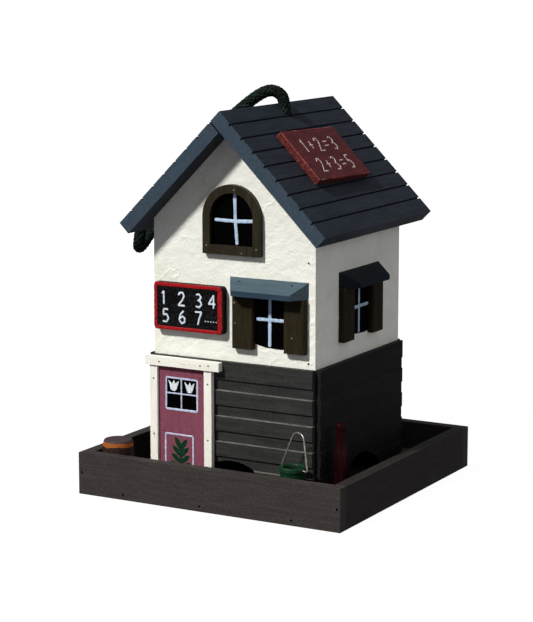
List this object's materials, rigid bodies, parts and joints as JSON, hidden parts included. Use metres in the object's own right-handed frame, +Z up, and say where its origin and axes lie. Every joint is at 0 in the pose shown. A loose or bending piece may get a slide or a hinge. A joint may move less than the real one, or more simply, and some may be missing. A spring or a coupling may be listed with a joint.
{
  "type": "birdhouse",
  "caption": "Hanging bird feeder shaped as a two-storey house in a square tray, with a lift-up gable roof on a rope, feed arches, a door, shuttered windows and small tray toys.",
  "frame": {"origin": "centre of the tray's underside", "axes": "+Z up, -Y out of the door, +X to the viewer's right when facing the door"},
  "size_m": [0.2, 0.2, 0.2761],
  "materials": {
    "plaster": "matte textured white paint",
    "roof_paint": "satin slate blue paint over grooved board",
    "siding_stain": "matte charcoal stain worn along the ledges",
    "tray_stain": "matte dark grey brown stain",
    "trim_paint": "worn off-white paint",
    "door_paint": "satin plum paint",
    "frame_paint": "matte olive brown paint",
    "awning_paint": "satin grey blue paint",
    "board_paint": "matte blackboard paint",
    "plaque_paint": "satin maroon paint",
    "bare_wood": "bare softwood",
    "rope": "braided dark green and black cord",
    "brad_steel": "dull steel",
    "bucket_enamel": "green enamel",
    "bail_wire": "dull steel wire",
    "barrel_paint": "satin brown paint with an orange band",
    "bottle_paint": "gloss dark red paint"
  },
  "bodies": {
    "house": {"tray_floor": "tray_stain", "tray_front_board": "tray_stain", "tray_rear_board": "tray_stain", "tray_right_board": "tray_stain", "tray_left_board": "tray_stain", "front_wall": "plaster", "rear_wall": "plaster", "right_wall": "plaster", "left_wall": "plaster", "front_siding": "siding_stain", "rear_siding": "siding_stain", "right_siding": "siding_stain", "left_siding": "siding_stain", "door_panel": "door_paint", "door_jamb_left": "trim_paint", "door_jamb_right": "trim_paint", "door_lintel": "trim_paint", "attic_window_frame": "frame_paint", "attic_window_sill": "frame_paint", "front_shutter_left": "frame_paint", "front_shutter_right": "frame_paint", "right_shutter_left": "frame_paint", "right_shutter_right": "frame_paint", "left_shutter_left": "frame_paint", "left_shutter_right": "frame_paint", "front_awning": "awning_paint", "right_awning": "awning_paint", "left_awning": "awning_paint", "blackboard": "board_paint", "hanging_dowel": "bare_wood", "rope_sling": "rope", "bucket": "bucket_enamel", "barrel": "barrel_paint", "bottle": "bottle_paint", "tray_brads": "brad_steel", "floor_brads": "brad_steel", "wall_brads": "brad_steel", "siding_brads": "brad_steel", "door_brads": "brad_steel", "attic_window_brads": "brad_steel", "shutter_brads": "brad_steel", "awning_brads": "brad_steel"},
    "roof": {"roof_panel_right": "roof_paint", "roof_panel_left": "roof_paint", "ridge_brads": "brad_steel", "roof_plaque": "plaque_paint", "rope_loop": "rope"},
    "bail": {"bucket_bail": "bail_wire"}
  },
  "joints": [
    {"name": "roof_lift", "type": "slide", "parent": "house", "child": "roof", "axis": [0, 0, 1], "range_m": [0, 0.08]},
    {"name": "bail_swing", "type": "hinge", "parent": "house", "child": "bail", "pos_m": [0.0549, -0.0798, 0.0323], "axis": [0.9542, -0.299, 0], "range_deg": [-27, 85]}
  ]
}
